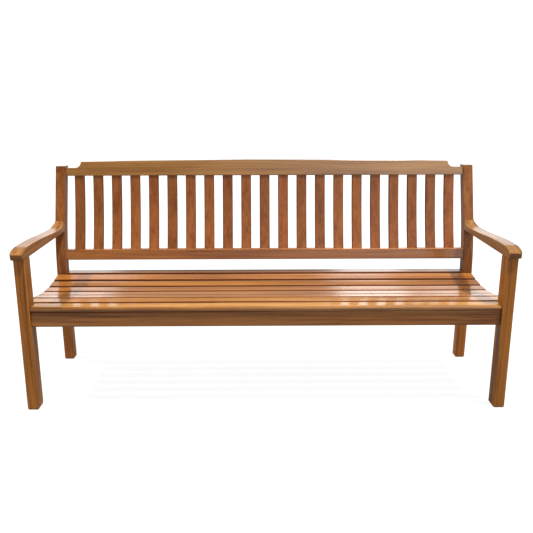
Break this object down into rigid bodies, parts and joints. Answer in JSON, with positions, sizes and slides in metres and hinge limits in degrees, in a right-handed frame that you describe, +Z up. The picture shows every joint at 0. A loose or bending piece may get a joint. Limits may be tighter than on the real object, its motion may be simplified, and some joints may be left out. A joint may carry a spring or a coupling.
{
  "type": "garden bench",
  "caption": "Long hardwood garden bench with a dished slatted seat, wide arms with rolled noses, and a raked back of upright slats under a gently crowned top rail.",
  "frame": {"origin": "on the ground, under the middle of the bench's bounding box", "axes": "+X along the bench to the sitter's left hand (the viewer's right), -Y is the open front that a sitter faces, +Y the back, +Z up"},
  "size_m": [1.794, 0.6382, 0.868],
  "materials": {
    "leg_wood": "satin varnish",
    "arm_wood": "satin varnish",
    "seat_frame_wood": "satin varnish",
    "back_rail_wood": "satin varnish",
    "seat_slat_wood": "satin varnish",
    "back_slat_wood": "satin varnish",
    "zinc_steel": "zinc plated"
  },
  "bodies": {
    "root": {"leg_front_left": "leg_wood", "leg_front_right": "leg_wood", "leg_back_left": "leg_wood", "leg_back_right": "leg_wood", "arm_left": "arm_wood", "arm_right": "arm_wood", "side_rail_left": "seat_frame_wood", "side_rail_right": "seat_frame_wood", "seat_rail_front": "seat_frame_wood", "seat_rail_back": "seat_frame_wood", "seat_bearer_left": "seat_frame_wood", "seat_bearer_right": "seat_frame_wood", "back_rail_top": "back_rail_wood", "back_rail_lower": "back_rail_wood", "frame_bolts": "zinc_steel", "barrel_nuts": "zinc_steel", "arm_screws": "zinc_steel", "slat_screws": "zinc_steel", "seat_slat_1": "seat_slat_wood", "seat_slat_2": "seat_slat_wood", "seat_slat_3": "seat_slat_wood", "seat_slat_4": "seat_slat_wood", "seat_slat_5": "seat_slat_wood", "seat_slat_6": "seat_slat_wood", "seat_slat_7": "seat_slat_wood", "seat_slat_8": "seat_slat_wood", "back_slat_01": "back_slat_wood", "back_slat_02": "back_slat_wood", "back_slat_03": "back_slat_wood", "back_slat_04": "back_slat_wood", "back_slat_05": "back_slat_wood", "back_slat_06": "back_slat_wood", "back_slat_07": "back_slat_wood", "back_slat_08": "back_slat_wood", "back_slat_09": "back_slat_wood", "back_slat_10": "back_slat_wood", "back_slat_11": "back_slat_wood", "back_slat_12": "back_slat_wood", "back_slat_13": "back_slat_wood", "back_slat_14": "back_slat_wood", "back_slat_15": "back_slat_wood", "back_slat_16": "back_slat_wood", "back_slat_17": "back_slat_wood", "back_slat_18": "back_slat_wood", "back_slat_19": "back_slat_wood", "back_slat_20": "back_slat_wood", "back_slat_21": "back_slat_wood"}
  },
  "joints": []
}
